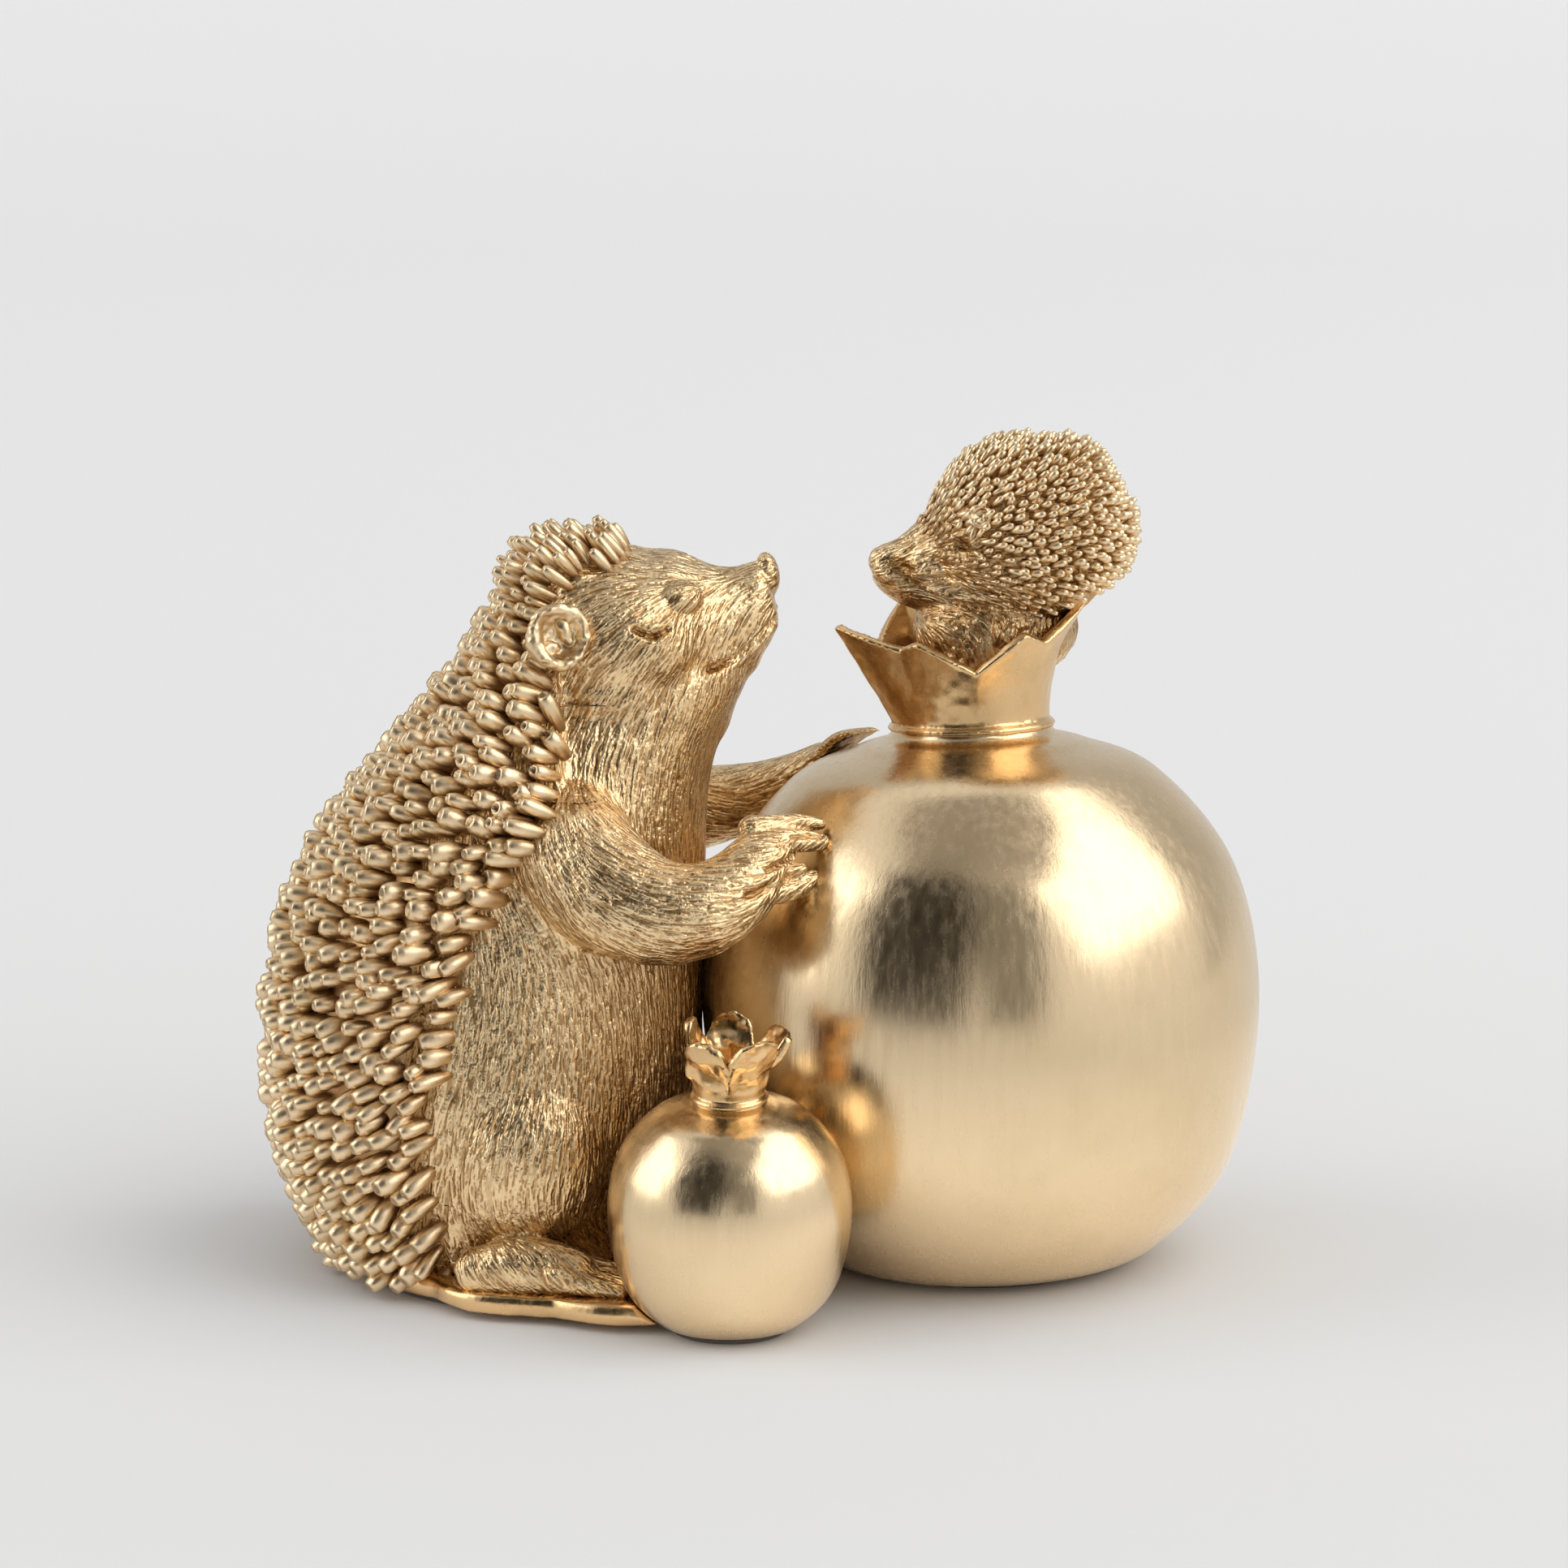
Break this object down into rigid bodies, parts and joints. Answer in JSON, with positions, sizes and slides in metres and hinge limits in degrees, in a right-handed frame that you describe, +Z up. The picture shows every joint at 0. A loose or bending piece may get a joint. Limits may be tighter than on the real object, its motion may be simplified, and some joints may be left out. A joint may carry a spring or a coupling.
{
  "type": "hedgehog figurine",
  "caption": "Gilded cast figurine: a sitting hedgehog hugs a large pomegranate, its young looks out of the fruit's crown, and a small pomegranate stands in front.",
  "frame": {"origin": "middle of the felt disc under the large fruit, on the surface that the figurine stands on", "axes": "+X the way that the mother hedgehog faces, from her back through the large fruit; +Z up; -Y towards the small fruit and the viewer of the picture"},
  "size_m": [0.1363, 0.0915, 0.1157],
  "materials": {
    "gilding": "cast resin gilded in pale warm gold leaf, satin gloss, rubbed, with olive-brown in the hollows",
    "felt": "thin dark felt glued under the castings"
  },
  "bodies": {
    "root": {"large_fruit": "gilding", "pour_hole_plug": "gilding", "fruit_crown": "gilding", "small_fruit": "gilding", "small_crown": "gilding", "ground": "gilding", "mother_torso": "gilding", "mother_head": "gilding", "mother_near_ear": "gilding", "mother_far_ear": "gilding", "mother_quill_coat": "gilding", "mother_near_arm": "gilding", "mother_far_arm": "gilding", "mother_near_leg": "gilding", "mother_far_leg": "gilding", "young_body": "gilding", "young_head": "gilding", "young_near_ear": "gilding", "young_far_ear": "gilding", "young_quill_cap": "gilding", "young_near_paw": "gilding", "young_far_paw": "gilding", "ground_felt": "felt", "large_fruit_felt": "felt", "small_fruit_felt": "felt"}
  },
  "joints": []
}
